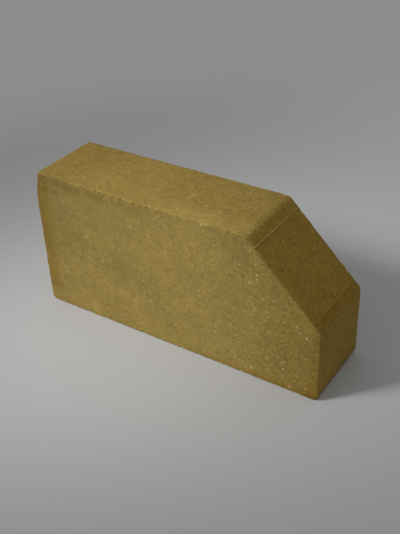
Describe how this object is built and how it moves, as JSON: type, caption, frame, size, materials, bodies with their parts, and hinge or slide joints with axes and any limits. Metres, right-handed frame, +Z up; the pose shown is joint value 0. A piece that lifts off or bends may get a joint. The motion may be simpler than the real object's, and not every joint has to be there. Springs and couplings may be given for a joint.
{
  "type": "shaped facing brick",
  "caption": "Solid pressed facing brick with a corner of its plan cut off at a slant, for angled wall corners, piers and window reveals; it stands on its long edge.",
  "frame": {"origin": "on the floor, under the middle of the length and of the thickness", "axes": "+X along the length, towards the canted end; +Y through the pressed thickness, from the front bed face to the back one; +Z up across the width, from the long edge it stands on"},
  "size_m": [0.25, 0.065, 0.12],
  "materials": {
    "pressed_brick": "matte"
  },
  "bodies": {
    "root": {"brick": "pressed_brick"}
  },
  "joints": []
}
